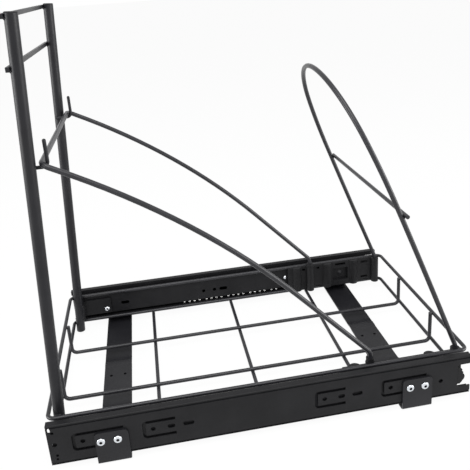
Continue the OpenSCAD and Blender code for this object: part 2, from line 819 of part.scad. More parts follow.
module cap() {
  cylinder(d = post_d, h = cap_h, $fn = curve_fn);
  translate([0, 0, -cap_plug]) cylinder(d = post_d - 2 * post_wall, h = cap_plug + cap_h / 2, $fn = curve_fn);
}

module post_caps() {
  color(plastic) for (right = [false, true]) side(right) {
    leaning() translate([post_x, 0, post_len]) cap();
    leaning() translate([post_x, 0, 0]) mirror([0, 0, 1]) cap();
  }
}

// Flat bar across the front of the posts
module bar(z) {
  half = post_x + post_d / 2 - 1;
  front = post_at(z) - post_half + weld + 0.1 - bar_t;
  translate([-half, at(front), z - bar_h / 2]) cube([2 * half, bar_t, bar_h]);
}

module top_bar() {
  color(steel) bar(post_top - bar_h / 2);
}

module door_bar() {
  color(steel) bar(post_top - door_bar_drop);
}

// Hook on the inner side of a post, tip turned up behind the bail
module hook() {
  start = post_at(hook_z) - post_d / 4;
  run = hook_back - hook_bend - start;
  rise = bail_z + hook_tip - hook_z - hook_bend;
  translate([hook_x, at(start), hook_z]) rotate([90, 0, 90])
    wire([["line", run], ["bend", hook_bend, 90], ["line", rise]], hook_d);
  translate([hook_x, at(hook_back), hook_z + hook_bend + rise]) sphere(d = hook_d, $fn = curve_fn);
}

module left_hook() {
  color(steel) side(false) hook();
}

module right_hook() {
  color(steel) side(true) hook();
}

// Angle plate between a post and its inner slide member
module post_plate() {
  difference() {
    union() {
      translate([x_in - plate_t, at(plate_front), z_mid - plate_h / 2]) cube([plate_t, plate_len, plate_h]);
      leaning() translate([post_x - post_d / 4, post_d / 2 - weld, z_mid - plate_h / 2 - post_bottom])
        cube([x_in - post_x + post_d / 4, plate_t, plate_h]);
    }
    translate([x_in - plate_t / 2, at(plate_screw_y), plate_screw_z]) rotate([0, 90, 0])
      cylinder(d = small_d + screw_clear, h = plate_t + 2 * cut, center = true, $fn = curve_fn);
  }
}

module left_post_plate() {
  color(steel) side(false) post_plate();
}

module right_post_plate() {
  color(steel) side(true) post_plate();
}

// Corrugated bracket that clamps the rim wires to the inner slide member and takes the rod ends
module socket_bracket() {
  back = bracket_x;
  face = back - bracket_t;
  difference() {
    union() {
      translate([face, at(bracket_start), bracket_z]) cube([bracket_t, bracket_end - bracket_start, bracket_h]);
      for (y = [bail_y, hoop_y]) {
        translate([rod_x, at(y), bracket_z]) cylinder(r = lobe_r, h = bracket_h, $fn = curve_fn);
      }
      for (y = [wave_first, wave_second, wave_third]) {
        translate([wave_x, at(y), bracket_z]) cylinder(r = wave_r, h = bracket_h, $fn = curve_fn);
      }
      translate([rod_x, at(bail_y), bracket_z]) cylinder(r = sleeve_r, h = bail_top - bracket_z, $fn = curve_fn);
      translate([face, at(pocket_y - pocket_len / 2), z_mid - pocket_h / 2])
        cube([x_in - face, pocket_len, pocket_h]);
    }
    for (z = [z_mid - pocket_h / 2 - bracket_h, z_mid + pocket_h / 2]) {
      translate([back, at(bracket_start) - cut, z])
        cube([2 * wave_r, bracket_end - bracket_start + 2 * cut, bracket_h]);
    }
    for (y = [bracket_start - cut, pocket_y + pocket_len / 2]) {
      translate([back, at(y), bracket_z - cut])
        cube([2 * wave_r, pocket_y - pocket_len / 2 - bracket_start + cut, bracket_h + 2 * cut]);
    }
    translate([face - cut, at(pocket_y - pocket_len / 2 + 2), z_mid - pocket_h / 2 + 2])
      cube([x_in - pocket_t - face + cut, pocket_len - 4, pocket_h - 4]);
    translate([x_in - pocket_t / 2, at(pocket_y), z_mid]) rotate([0, 90, 0])
      cylinder(d = small_d + screw_clear, h = pocket_t + 2 * cut, center = true, $fn = curve_fn);
    for (s = [[bail_y, bail_top], [hoop_y, socket_top]]) translate([rod_x, at(s[0]), s[1] - socket_depth])
      cylinder(d = rod_d + 2 * socket_gap, h = socket_depth + cut, $fn = curve_fn);
    bracket_window((wave_first + wave_half + bail_y - lobe_r) / 2, socket_top - 6, 5);
    bracket_window((bail_y + lobe_r + wave_second - wave_half) / 2, socket_top - 6, 5);
    bracket_window(pocket_y, socket_top - 4.5, pocket_len - 12);
    bracket_window((wave_third + wave_half + hoop_y - lobe_r) / 2, socket_top - 6, 12);
    bracket_window((wave_third + wave_half + hoop_y - lobe_r) / 2, bracket_z + 9.5, 12);
    bracket_scallop(wave_first + wave_half, bail_y - lobe_r, 3);
    bracket_scallop(bail_y + lobe_r, wave_second - wave_half, 5);
    bracket_scallop(wave_third + wave_half, hoop_y - lobe_r, 5);
  }
}

// Slot through the bracket sheet
module bracket_window(y, z, length) {
  translate([bracket_x - bracket_t - cut, at(y) - length / 2, z - 2]) cube([bracket_t + 2 * cut, length, 4]);
}

// Arched cut in the lower edge of the bracket sheet, from one lobe to the next
module bracket_scallop(y0, y1, rise) {
  half = (y1 - y0) / 2 - 0.3;
  r = (half * half + rise * rise) / (2 * rise);
  translate([bracket_x - bracket_t - cut, at((y0 + y1) / 2), bracket_z + rise - r]) rotate([0, 90, 0])
    cylinder(r = r, h = bracket_t + 2 * cut, $fn = curve_fn);
}

module left_socket_bracket() {
  color(plastic) side(false) socket_bracket();
}

module right_socket_bracket() {
  color(plastic) side(true) socket_bracket();
}

module plate_screws() {
  grip = plate_t + inner_sheet + 2;
  color(zinc) for (right = [false, true]) side(right) {
    translate([x_in - plate_t, at(plate_screw_y), plate_screw_z]) inside_fastener(small_d, small_head_d, 2, grip);
  }
}

module bracket_screws() {
  grip = pocket_t + inner_sheet + 2;
  color(steel) for (right = [false, true]) side(right) {
    translate([x_in - pocket_t, at(pocket_y), z_mid]) inside_fastener(small_d, small_head_d, 2, grip);
  }
}

// Half of the bail, from its socket to the middle of its front
module half_bail(joined) {
  translate([rod_x, at(bail_y), bail_end]) rotate([0, 0, 180]) rotate([0, -90, 0])
    wire([["line", bail_sit - bail_end], ["bend", rod_bend, bail_lean], ["line", arm_line], ["bend", arm_r, arm_turn],
      ["roll", -90], ["bend", bail_corner, 90], ["line", rod_x - bail_corner]], rod_d, rod_collar, joined);
}

module bail_wire() {
  color(steel) for (right = [false, true]) side(right) half_bail(right);
}

// Half of the hoop, from its socket to the middle of its top
module half_hoop(joined) {
  translate([rod_x, at(hoop_y), rod_end]) rotate([0, 0, 180]) rotate([0, -90, 0])
    wire([["line", hoop_sit - hoop_base - rod_end], ["bend", rod_bend, hoop_lean],
      ["line", hoop_leg - hoop_base], ["roll", -90], ["bend", hoop_side_r, hoop_side_turn],
      ["bend", hoop_shoulder_r, hoop_shoulder_turn], ["bend", hoop_top_r, hoop_top_turn]],
      rod_d, rod_collar, joined);
}

module hoop_wire() {
  color(steel) for (right = [false, true]) side(right) half_hoop(right);
}

// Cross wire welded to the rear of the hoop legs
module hoop_cross_wire() {
  reach = hoop_cross_x + rod_d / 2 + 3;
  offset_back = (rod_d + wire_d) / 2 - weld;
  color(steel) translate([0, at(hoop_y), hoop_sit]) rotate([hoop_lean, 0, 0])
    translate([0, offset_back, hoop_cross]) rotate([0, 90, 0])
    cylinder(d = wire_d, h = 2 * reach, center = true, $fn = curve_fn);
}

front_strap();
rear_strap();
left_outer_rail();
right_outer_rail();
strap_screws();
left_damper();
right_damper();
left_outer_cage();
right_outer_cage();
outer_balls();
left_middle_rail();
right_middle_rail();
left_inner_cage();
right_inner_cage();
inner_balls();
left_inner_rail();
right_inner_rail();
rail_rivets();
upper_rim_wire();
lower_rim_wire();
left_long_wire();
right_long_wire();
front_cross_wire();
middle_cross_wire();
rear_cross_wire();
left_post();
right_post();
post_caps();
top_bar();
door_bar();
left_hook();
right_hook();
left_post_plate();
right_post_plate();
left_socket_bracket();
right_socket_bracket();
plate_screws();
bracket_screws();
bail_wire();
hoop_wire();
hoop_cross_wire();
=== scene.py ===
import json
import math
import bpy
import bmesh
from mathutils import Matrix, Vector


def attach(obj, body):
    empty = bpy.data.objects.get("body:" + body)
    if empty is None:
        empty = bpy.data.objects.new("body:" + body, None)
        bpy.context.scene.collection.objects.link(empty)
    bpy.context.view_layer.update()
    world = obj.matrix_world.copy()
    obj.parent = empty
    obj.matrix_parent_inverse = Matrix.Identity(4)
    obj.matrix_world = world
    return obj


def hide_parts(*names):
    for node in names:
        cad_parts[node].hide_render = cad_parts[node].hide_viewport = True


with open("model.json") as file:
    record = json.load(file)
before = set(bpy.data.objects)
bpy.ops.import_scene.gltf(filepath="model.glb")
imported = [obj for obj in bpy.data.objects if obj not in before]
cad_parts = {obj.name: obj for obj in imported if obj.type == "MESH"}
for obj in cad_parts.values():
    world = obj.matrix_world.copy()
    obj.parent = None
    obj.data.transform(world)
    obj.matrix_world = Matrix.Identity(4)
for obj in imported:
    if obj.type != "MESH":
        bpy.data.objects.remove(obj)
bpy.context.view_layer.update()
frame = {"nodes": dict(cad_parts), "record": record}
nodes = frame["nodes"]
scene = bpy.context.scene
mm = 0.001
print("frame loaded:", len(nodes), "nodes")


def linearColour(hexCode):
    channels = [int(hexCode[i:i + 2], 16) / 255 for i in (1, 3, 5)]
    return [c / 12.92 if c <= 0.04045 else ((c + 0.055) / 1.055) ** 2.4 for c in channels] + [1.0]


def addNode(tree, kind, settings=None, inputs=None, links=None):
    made = tree.nodes.new(kind)
    for key, value in (settings or {}).items():
        setattr(made, key, value)
    for key, value in (inputs or {}).items():
        made.inputs[key].default_value = value
    for key, socket in (links or {}).items():
        tree.links.new(socket, made.inputs[key])
    return made


def startMaterial(name):
    mat = bpy.data.materials.new(name)
    mat.use_nodes = True
    tree = mat.node_tree
    tree.nodes.clear()
    out = addNode(tree, "ShaderNodeOutputMaterial")
    place = addNode(tree, "ShaderNodeTexCoord").outputs["Object"]
    return mat, tree, out, place


# Black polyester powder, baked on steel: it levels to a fine orange peel with a soft sheen.
# Tubes, bars and straps have a satin coat, drawn wires a smoother one with a lighter tone that is painted
# highlight, and the slides a thinner and duller one.
powder = {"toneStops": (0.32, 0.7), "peelSpan": (0.3, 0.7), "ior": 1.5, "depthMm": 0.3}
tubeCoat = {"name": "satinPowderCoat", "dark": "#17171a", "light": "#202023", "peelMm": 1.6, "driftMm": 45,
            "rough": (0.34, 0.44), "gloss": 0.26, "bump": 0.06}
wireCoatPaintedSheen = {"name": "smoothPowderCoatPaintedSheen", "dark": "#1f1f22", "light": "#28282c", "peelMm": 1.4, "driftMm": 45,
            "rough": (0.3, 0.38), "gloss": 0.37, "bump": 0.04}
slideCoat = {"name": "dullPowderCoat", "dark": "#121214", "light": "#19191b", "peelMm": 1.2, "driftMm": 30,
             "rough": (0.4, 0.52), "gloss": 0.19, "bump": 0.05}


def makePowderCoat(coat):
    mat, tree, out, place = startMaterial(coat["name"])
    drift = addNode(tree, "ShaderNodeTexNoise", {}, {"Scale": 1000 / coat["driftMm"], "Detail": 4.0},
                    {"Vector": place})
    peel = addNode(tree, "ShaderNodeTexNoise", {}, {"Scale": 1000 / coat["peelMm"], "Detail": 3.0},
                   {"Vector": place})  # real peel is about half as wide, drawn coarser so that it shows
    tone = addNode(tree, "ShaderNodeValToRGB", {}, {}, {"Fac": drift.outputs["Fac"]})
    for stop, position, shade in zip(tone.color_ramp.elements, powder["toneStops"], ("dark", "light")):
        stop.position = position
        stop.color = linearColour(coat[shade])
    sheen = addNode(tree, "ShaderNodeMapRange", {},
                    {"From Min": powder["peelSpan"][0], "From Max": powder["peelSpan"][1],
                     "To Min": coat["rough"][0], "To Max": coat["rough"][1]}, {"Value": peel.outputs["Fac"]})
    grain = addNode(tree, "ShaderNodeBump", {},
                    {"Strength": coat["bump"], "Distance": powder["depthMm"] * mm},
                    {"Height": peel.outputs["Fac"]})
    shader = addNode(tree, "ShaderNodeBsdfPrincipled", {},
                     {"IOR": powder["ior"], "Specular IOR Level": coat["gloss"]},
                     {"Base Color": tone.outputs["Color"], "Roughness": sheen.outputs["Result"],
                      "Normal": grain.outputs["Normal"]})
    tree.links.new(shader.outputs["BSDF"], out.inputs["Surface"])
    return mat


# Bright zinc plate on a cold-headed steel screw: pale metal with faint blue drift and small turning marks
zincPlate = {"pale": "#e6e8ea", "blue": "#cfd5dc", "driftMm": 3, "grainMm": 0.35, "rough": (0.2, 0.36),
             "bump": 0.05, "depthMm": 0.1}


def makeZincPlate():
    mat, tree, out, place = startMaterial("zincPlateBright")
    drift = addNode(tree, "ShaderNodeTexNoise", {}, {"Scale": 1000 / zincPlate["driftMm"], "Detail": 3.0},
                    {"Vector": place})
    tone = addNode(tree, "ShaderNodeMix", {"data_type": "RGBA"}, {"A": linearColour(zincPlate["pale"]),
                   "B": linearColour(zincPlate["blue"])}, {"Factor": drift.outputs["Fac"]})
    marks = addNode(tree, "ShaderNodeTexNoise", {}, {"Scale": 1000 / zincPlate["grainMm"], "Detail": 2.0},
                    {"Vector": place})
    sheen = addNode(tree, "ShaderNodeMapRange", {}, {"To Min": zincPlate["rough"][0],
                    "To Max": zincPlate["rough"][1]}, {"Value": marks.outputs["Fac"]})
    grain = addNode(tree, "ShaderNodeBump", {},
                    {"Strength": zincPlate["bump"], "Distance": zincPlate["depthMm"] * mm},
                    {"Height": marks.outputs["Fac"]})
    shader = addNode(tree, "ShaderNodeBsdfPrincipled", {}, {"Metallic": 1.0},
                     {"Base Color": tone.outputs["Result"], "Roughness": sheen.outputs["Result"],
                      "Normal": grain.outputs["Normal"]})
    tree.links.new(shader.outputs["BSDF"], out.inputs["Surface"])
    return mat


# Polished bearing steel with a thin film of grease: bright, with slightly duller patches
bearingSteel = {"pale": "#dcdde0", "film": "#b9b7ae", "patchMm": 1.5, "rough": (0.08, 0.26)}


def makeBearingSteel():
    mat, tree, out, place = startMaterial("bearingSteelPolished")
    patch = addNode(tree, "ShaderNodeTexNoise", {}, {"Scale": 1000 / bearingSteel["patchMm"], "Detail": 2.0},
                    {"Vector": place})
    tone = addNode(tree, "ShaderNodeMix", {"data_type": "RGBA"}, {"A": linearColour(bearingSteel["pale"]),
                   "B": linearColour(bearingSteel["film"])}, {"Factor": patch.outputs["Fac"]})
    sheen = addNode(tree, "ShaderNodeMapRange", {}, {"To Min": bearingSteel["rough"][0],
                    "To Max": bearingSteel["rough"][1]}, {"Value": patch.outputs["Fac"]})
    shader = addNode(tree, "ShaderNodeBsdfPrincipled", {}, {"Metallic": 1.0},
                     {"Base Color": tone.outputs["Result"], "Roughness": sheen.outputs["Result"]})
    tree.links.new(shader.outputs["BSDF"], out.inputs["Surface"])
    return mat


# Oiled cold-rolled cage strip with fine rolling lines along the slide; its dark tone is painted shade for the
# cages deep in the slides
shadedCageStrip = {"dark": "#18181a", "pale": "#29292b", "lineMm": 0.5, "stretch": (1.0, 0.03, 1.0),
             "rough": (0.4, 0.56), "bump": 0.08, "depthMm": 0.1}


def makeShadedCageStrip():
    mat, tree, out, place = startMaterial("cageStripPaintedShade")
    stretch = addNode(tree, "ShaderNodeMapping", {}, {"Scale": shadedCageStrip["stretch"]}, {"Vector": place})
    lines = addNode(tree, "ShaderNodeTexNoise", {}, {"Scale": 1000 / shadedCageStrip["lineMm"], "Detail": 3.0},
                    {"Vector": stretch.outputs["Vector"]})
    # The dark tone is painted shade for the cages inside the slides; the rolling lines are real
    tone = addNode(tree, "ShaderNodeMix", {"data_type": "RGBA"}, {"A": linearColour(shadedCageStrip["dark"]),
                   "B": linearColour(shadedCageStrip["pale"])}, {"Factor": lines.outputs["Fac"]})
    sheen = addNode(tree, "ShaderNodeMapRange", {}, {"To Min": shadedCageStrip["rough"][0],
                    "To Max": shadedCageStrip["rough"][1]}, {"Value": lines.outputs["Fac"]})
    grain = addNode(tree, "ShaderNodeBump", {},
                    {"Strength": shadedCageStrip["bump"], "Distance": shadedCageStrip["depthMm"] * mm},
                    {"Height": lines.outputs["Fac"]})
    shader = addNode(tree, "ShaderNodeBsdfPrincipled", {}, {"Metallic": 1.0},
                     {"Base Color": tone.outputs["Result"], "Roughness": sheen.outputs["Result"],
                      "Normal": grain.outputs["Normal"]})
    tree.links.new(shader.outputs["BSDF"], out.inputs["Surface"])
    return mat


# Injection-moulded black nylon: spark-eroded mould grain, duller and a shade darker than the coated steel
blackNylon = {"dark": "#0e0e10", "light": "#151517", "grainMm": 0.9, "flowMm": 22, "rough": (0.5, 0.64),
              "gloss": 0.22, "bump": 0.12, "ior": 1.53, "depthMm": 0.15}


def makeBlackNylon():
    mat, tree, out, place = startMaterial("blackNylonMoulded")
    flow = addNode(tree, "ShaderNodeTexNoise", {}, {"Scale": 1000 / blackNylon["flowMm"], "Detail": 3.0},
                   {"Vector": place})
    spark = addNode(tree, "ShaderNodeTexVoronoi", {}, {"Scale": 1000 / blackNylon["grainMm"]},
                    {"Vector": place})  # real grain is near 0.2 mm, drawn coarser so that it shows
    tone = addNode(tree, "ShaderNodeMix", {"data_type": "RGBA"}, {"A": linearColour(blackNylon["dark"]),
                   "B": linearColour(blackNylon["light"])}, {"Factor": flow.outputs["Fac"]})
    sheen = addNode(tree, "ShaderNodeMapRange", {}, {"To Min": blackNylon["rough"][0],
                    "To Max": blackNylon["rough"][1]}, {"Value": flow.outputs["Fac"]})
    grain = addNode(tree, "ShaderNodeBump", {},
                    {"Strength": blackNylon["bump"], "Distance": blackNylon["depthMm"] * mm},
                    {"Height": spark.outputs["Distance"]})
    shader = addNode(tree, "ShaderNodeBsdfPrincipled", {},
                     {"IOR": blackNylon["ior"], "Specular IOR Level": blackNylon["gloss"]},
                     {"Base Color": tone.outputs["Result"], "Roughness": sheen.outputs["Result"],
                      "Normal": grain.outputs["Normal"]})
    tree.links.new(shader.outputs["BSDF"], out.inputs["Surface"])
    return mat


finishes = {"black_steel": makePowderCoat(tubeCoat), "zinc_screw": makeZincPlate(),
            "bearing_ball": makeBearingSteel(), "cage_steel": makeShadedCageStrip(),
            "black_plastic": makeBlackNylon()}
# The wire coat's lighter tone is painted highlight; its higher gloss is real
wireFinishPaintedSheen = makePowderCoat(wireCoatPaintedSheen)
slideFinish = makePowderCoat(slideCoat)
coated = {"wire": wireFinishPaintedSheen, "rail": slideFinish, "plate": slideFinish}
for row in frame["record"]["subparts"]:
    finish = finishes[row["material_slot"]]
    if row["material_slot"] == "black_steel":
        finish = next((coat for word, coat in coated.items() if word in row["node"]), finish)
    node = nodes[row["node"]]
    node.data.materials.clear()
    node.data.materials.append(finish)
print("finishes made:", len(finishes) + len(set(coated.values())))

# Places in mm as in the part's source, with y from the front end of the slides
layout = {"slideFront": -256.25, "postX": 129.2, "postFoot": (9.0, 4.0), "postLean": 3.4,
          "postLength": 497.876, "rimX": 138.0, "rimZ": (14.2, 57.0), "longX": 51.5,
          "crossY": (125.0, 253.0, 382.0), "crossZ": 9.4, "mergeMm": 0.001, "sharpDegrees": 38}


def spot(x, y, z):
    return Vector((x, y + layout["slideFront"], z)) * mm


def postY(z):
    y, bottom = layout["postFoot"]
    return y + (z - bottom) * math.tan(math.radians(layout["postLean"]))


def facing(place, side):
    turn = Matrix(((0, 0, side), (side, 0, 0), (0, 1, 0))).to_4x4()  # local Z to the side, local Y up
    return Matrix.Translation(place) @ turn


def addPiece(name, bm, body, slot, replaced=()):
    bmesh.ops.remove_doubles(bm, verts=bm.verts, dist=layout["mergeMm"] * mm)
    bmesh.ops.recalc_face_normals(bm, faces=bm.faces)
    for face in bm.faces:
        face.smooth = True
    mesh = bpy.data.meshes.new(name)
    bm.to_mesh(mesh)
    bm.free()
    mesh.set_sharp_from_angle(angle=math.radians(layout["sharpDegrees"]))
    mesh.materials.append(finishes[slot])
    piece = bpy.data.objects.new(name, mesh)
    scene.collection.objects.link(piece)
    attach(piece, body)
    if replaced:
        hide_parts(*replaced)
    print("piece made:", name, len(mesh.polygons), "faces")


def spinProfile(bm, profile, place, steps):
    known = set(bm.verts)
    line = [bm.verts.new((radius * mm, 0, height * mm)) for radius, height in profile]
    edges = [bm.edges.new(pair) for pair in zip(line, line[1:])]
    bmesh.ops.spin(bm, geom=line + edges, cent=(0, 0, 0), axis=(0, 0, 1), angle=math.tau, steps=steps,
                   use_merge=True)
    bmesh.ops.transform(bm, matrix=place, verts=[v for v in bm.verts if v not in known])


# Low truss-head screws of the straps; a dark cup in each driver socket is painted shade
strapScrew = {"x": 158.7, "y": (57.5, 76.5, 428.5, 447.5), "z": 31.0, "steps": 32,
              "head": ((1.86, 1.5), (3.3, 1.38), (4.2, 1.02), (4.62, 0.6), (4.74, 0.3), (4.72, 0.02),
                       (2.5, 0.02), (2.5, -3.4), (2.2, -3.7), (1.86, -3.7), (1.86, 1.5)),
              "cup": 1.9, "socket": 1.6, "floor": 0.25, "top": 1.46, "wall": 0.12}


def makeStrapScrews():
    heads = bmesh.new()
    socketShades = bmesh.new()
    deep = strapScrew["top"] - strapScrew["floor"]
    for side in (-1, 1):
        outwards = Vector((side, 0, 0))
        for y in strapScrew["y"]:
            seat = spot(side * strapScrew["x"], y, strapScrew["z"])
            spinProfile(heads, strapScrew["head"], facing(seat, side), strapScrew["steps"])
            place = facing(seat + outwards * strapScrew["floor"] * mm, side)
            # The dark cup in the socket is painted shade
            rim = bmesh.ops.create_circle(socketShades, cap_ends=True, radius=strapScrew["cup"] * mm,
                                          segments=strapScrew["steps"], matrix=place)
            grown = bmesh.ops.extrude_face_region(socketShades, geom=list(rim["verts"][0].link_faces))["geom"]
            lid = [item for item in grown if isinstance(item, bmesh.types.BMFace)]
            bmesh.ops.translate(socketShades, vec=outwards * deep * mm,
                                verts=[item for item in grown if isinstance(item, bmesh.types.BMVert)])
            bmesh.ops.inset_region(socketShades, faces=lid,
                                   thickness=(strapScrew["cup"] - strapScrew["socket"]) * mm)
            bmesh.ops.translate(socketShades, vec=outwards * (strapScrew["wall"] - deep) * mm,
                                verts=lid[0].verts)
    addPiece("strapScrewHeads", heads, "base", "zinc_screw", ["strap_screws"])
    addPiece("strapSocketShade", socketShades, "base", "black_plastic")


makeStrapScrews()

# Pan-head screws of the post plates, with a conical driver recess; a thin dark cone over the recess is
# painted shade
plateScrew = {"x": 138.0, "y": 53.153, "z": 29.0, "steps": 24,
              "head": ((0, 0.5), (1.0, 0.58), (1.55, 1.62), (1.72, 1.74), (2.5, 1.52), (3.3, 0.98),
                       (3.8, 0.42), (3.9, 0.12), (3.86, 0.02), (2.0, 0.02), (2.0, -4.0), (1.6, -4.6),
                       (0, -4.6)),
              "recess": ((0, 0.7), (0.96, 0.76), (1.46, 1.66), (1.54, 1.62), (1.0, 0.6), (0, 0.52))}


def makePlateScrews():
    heads = bmesh.new()
    recessShades = bmesh.new()
    for side in (-1, 1):
        place = facing(spot(side * plateScrew["x"], plateScrew["y"], plateScrew["z"]), -side)
        spinProfile(heads, plateScrew["head"], place, plateScrew["steps"])
        # The thin dark cone over the recess is painted shade
        spinProfile(recessShades, plateScrew["recess"], place, plateScrew["steps"])
    addPiece("plateScrewHeads", heads, "carriage", "zinc_screw", ["plate_screws"])
    addPiece("plateRecessShade", recessShades, "carriage", "black_plastic")


makePlateScrews()

# Moulded caps in the ends of the posts, with a rolled edge
postCap = {"steps": 40,
           "profile": ((0, 1.2), (5.2, 1.2), (5.75, 1.12), (6.2, 0.88), (6.44, 0.5), (6.5, 0.1),
                       (6.46, 0.01), (4.97, 0.01), (4.97, -8.6), (4.6, -9.4), (0, -9.4))}


def makePostCaps():
    bm = bmesh.new()
    lean = Matrix.Rotation(math.radians(-layout["postLean"]), 4, "X")
    foot = Matrix.Translation(spot(0, *layout["postFoot"])) @ lean
    for side in (-1, 1):
        low = foot @ Matrix.Translation((side * layout["postX"] * mm, 0, 0))
        top = low @ Matrix.Translation((0, 0, layout["postLength"] * mm))
        spinProfile(bm, postCap["profile"], top, postCap["steps"])
        spinProfile(bm, postCap["profile"], low @ Matrix.Rotation(math.pi, 4, "X"), postCap["steps"])
    addPiece("postEndCaps", bm, "carriage", "black_plastic", ["post_caps"])


makePostCaps()

# Flat bars across the posts, with the rounded edges of drawn bar
crossBar = {"half": 134.7, "thick": 4.0, "high": 5.0, "z": {"topBar": 498.5, "doorBar": 450.0},
            "edge": 0.55, "segments": 3, "postHalf": 6.5115, "sink": 0.3}


def barBack(z):
    return postY(z) - crossBar["postHalf"] + crossBar["sink"]


def makeBars():
    for name, replaced in (("topBar", "top_bar"), ("doorBar", "door_bar")):
        z = crossBar["z"][name]
        bm = bmesh.new()
        size = Vector((2 * crossBar["half"], crossBar["thick"], crossBar["high"])) * mm
        middle = spot(0, barBack(z) - crossBar["thick"] / 2, z)
        bmesh.ops.create_cube(bm, size=1.0, matrix=Matrix.Translation(middle) @ Matrix.Diagonal((*size, 1.0)))
        bmesh.ops.bevel(bm, geom=bm.edges[:], offset=crossBar["edge"] * mm, segments=crossBar["segments"],
                        profile=0.5, affect="EDGES", material=-1)
        addPiece(name, bm, "carriage", "black_steel", [replaced])


makeBars()

# Resistance welds squeeze a small flash out of each wire crossing, and arc welds leave a rippled bead
weld = {"flash": 2.2, "flashFlat": 0.6, "beadStep": 0.75, "beadFlat": 0.7, "around": 8, "rows": 5}
basketWeld = {"crossWide": 1.2, "rimWide": 1.1, "endWide": 1.0, "endY": (2.4, 510.1),
              "beadX": 135.4, "beadHalf": 2.4, "beadOff": 1.3, "bead": 1.3}
postWeld = {"barZ": (496.0, 452.5, 447.5), "barReach": 3.4, "barOff": 0.5, "bead": 1.25,
            "hookX": 122.7, "hookY": (26.8, 32.2), "hookZ": 348.7, "hookOff": 1.7, "hookBead": 1.1,
            "plateX": 126.1, "plateZ": (23.0, 47.0), "plateOff": 6.2}
hoopWeld = {"place": (126.25, 429.39, 244.24), "half": 2.0, "off": 1.5, "slope": 0.3, "bead": 1.2}


def addFlash(bm, place, wide):
    shape = Matrix.Diagonal((wide, wide, weld["flashFlat"], 1.0))
    bmesh.ops.create_uvsphere(bm, u_segments=weld["around"], v_segments=weld["rows"],
                              radius=weld["flash"] * mm, matrix=Matrix.Translation(place) @ shape)


def addBead(bm, start, end, size):
    run = end - start
    count = max(3, round(run.length / (weld["beadStep"] * size * mm)))
    flat = Matrix.Diagonal((1.0, 1.0, weld["beadFlat"], 1.0))
    turn = run.to_track_quat("Z", "X").to_matrix().to_4x4() @ flat
    for i in range(count + 1):
        bmesh.ops.create_uvsphere(bm, u_segments=weld["around"], v_segments=weld["rows"], radius=size * mm,
                                  matrix=Matrix.Translation(start + run * (i / count)) @ turn)


def makeBasketWelds():
    bm = bmesh.new()
    low, high = layout["rimZ"]
    between = (low + layout["crossZ"]) / 2
    half, off = basketWeld["beadHalf"], basketWeld["beadOff"]
    for side in (-1, 1):
        for y in layout["crossY"]:
            addFlash(bm, spot(side * layout["longX"], y, between), basketWeld["crossWide"])
            addFlash(bm, spot(side * layout["rimX"], y, between), basketWeld["rimWide"])
        for y in basketWeld["endY"]:
            addFlash(bm, spot(side * layout["longX"], y, high), basketWeld["endWide"])
        x = side * basketWeld["beadX"]
        for z in (low, high):
            for height in (z + off, z - off):
                addBead(bm, spot(x, postY(z) - half, height), spot(x, postY(z) + half, height),
                        basketWeld["bead"])
    addPiece("basketWelds", bm, "carriage", "black_steel")


def makePostWelds():
    bm = bmesh.new()
    hookFront, hookRear = postWeld["hookY"]
    for side in (-1, 1):
        inner = side * (layout["postX"] - postWeld["barReach"])
        outer = side * (layout["postX"] + postWeld["barReach"])
        for z in postWeld["barZ"]:
            y = barBack(z) + postWeld["barOff"]
            addBead(bm, spot(inner, y, z), spot(outer, y, z), postWeld["bead"])
        x = side * postWeld["hookX"]
        for z in (postWeld["hookZ"] - postWeld["hookOff"], postWeld["hookZ"] + postWeld["hookOff"]):
            addBead(bm, spot(x, hookFront, z), spot(x, hookRear, z), postWeld["hookBead"])
        x = side * postWeld["plateX"]
        low, high = [spot(x, postY(z) + postWeld["plateOff"], z) for z in postWeld["plateZ"]]
        addBead(bm, low, high, postWeld["bead"])
    addPiece("postWelds", bm, "carriage", "black_steel")


def makeHoopWelds():
    bm = bmesh.new()
    x, y, z = hoopWeld["place"]
    for side in (-1, 1):
        for lift in (-hoopWeld["off"], hoopWeld["off"]):
            ends = [spot(side * across, y + hoopWeld["slope"] * lift, z + lift)
                    for across in (x - hoopWeld["half"], x + hoopWeld["half"])]
            addBead(bm, ends[0], ends[1], hoopWeld["bead"])
    addPiece("hoopWelds", bm, "hoop", "black_steel")


makeBasketWelds()
makePostWelds()
makeHoopWelds()

# Fine moulded ribs on the waves and on the front panel of the socket brackets
bracketRib = {"radius": 0.55, "sides": 8, "low": 18.5, "high": 54.0, "waveX": 136.8, "waveR": 8.0,
              "waveY": (366.5, 417.96, 464.04), "turns": (-38, -25, -12.5, 0, 12.5, 25, 38),
              "faceX": 133.0, "panelY": (353.0, 355.4, 357.8), "tip": 0.55}


def makeBracketRibs():
    bm = bmesh.new()
    feet = [(bracketRib["faceX"], y) for y in bracketRib["panelY"]]
    for y in bracketRib["waveY"]:
        for turn in bracketRib["turns"]:
            inwards = bracketRib["waveR"] * math.cos(math.radians(turn))
            along = bracketRib["waveR"] * math.sin(math.radians(turn))
            feet.append((bracketRib["waveX"] - inwards, y + along))
    rise = Vector((0, 0, bracketRib["high"] - bracketRib["low"])) * mm
    for side in (-1, 1):
        for x, y in feet:
            place = Matrix.Translation(spot(side * x, y, bracketRib["low"]))
            ring = bmesh.ops.create_circle(bm, cap_ends=True, radius=bracketRib["radius"] * mm,
                                           segments=bracketRib["sides"], matrix=place)
            grown = bmesh.ops.extrude_face_region(bm, geom=list(ring["verts"][0].link_faces))["geom"]
            top = [item for item in grown if isinstance(item, bmesh.types.BMVert)]
            bmesh.ops.translate(bm, vec=rise, verts=top)
            for end in (ring["verts"], top):
                middle = sum((vert.co for vert in end), Vector()) / len(end)
                bmesh.ops.scale(bm, vec=(bracketRib["tip"], bracketRib["tip"], 1.0),
                                space=Matrix.Translation(-middle), verts=end)
    addPiece("bracketRibs", bm, "carriage", "black_plastic")


makeBracketRibs()

